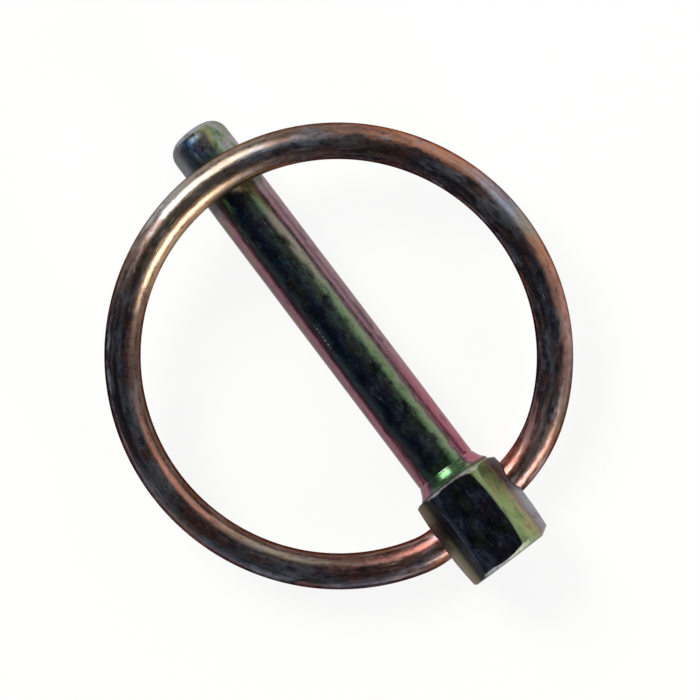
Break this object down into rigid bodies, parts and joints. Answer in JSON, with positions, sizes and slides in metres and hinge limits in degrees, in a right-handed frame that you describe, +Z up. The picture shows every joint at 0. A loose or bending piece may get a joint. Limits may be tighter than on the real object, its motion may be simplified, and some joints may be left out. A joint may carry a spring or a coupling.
{
  "type": "lynch pin",
  "caption": "Lynch pin with a hexagon head and a round shank in one piece, and a sprung wire ring that turns in the head and closes over the shank's tip.",
  "frame": {"origin": "on the pin's axis, in the middle of the straight grip between the head's flare and the tip's lead-in taper", "axes": "+X along the lying pin towards its tip, +Z up from the floor, +Y to the side that the ring's middle is shifted to"},
  "size_m": [0.0501, 0.0436, 0.0096],
  "materials": {
    "pin_plating": "yellow-passivated zinc plating, dark and iridescent green, violet and pink, scuffed",
    "ring_plating": "yellow-passivated zinc plating, coppery brown with blue-grey mottling, drawn along the wire"
  },
  "bodies": {
    "pin": {"pin": "pin_plating"},
    "ring": {"ring": "ring_plating"}
  },
  "joints": [
    {"name": "ring_hinge", "type": "hinge", "parent": "pin", "child": "ring", "pos_m": [-0.02087, -0.00004, -0.00064], "axis": [0.1141, -0.993, 0.0316], "range_deg": [0, 345.68], "stiffness_Nm_per_rad": 0.05}
  ]
}
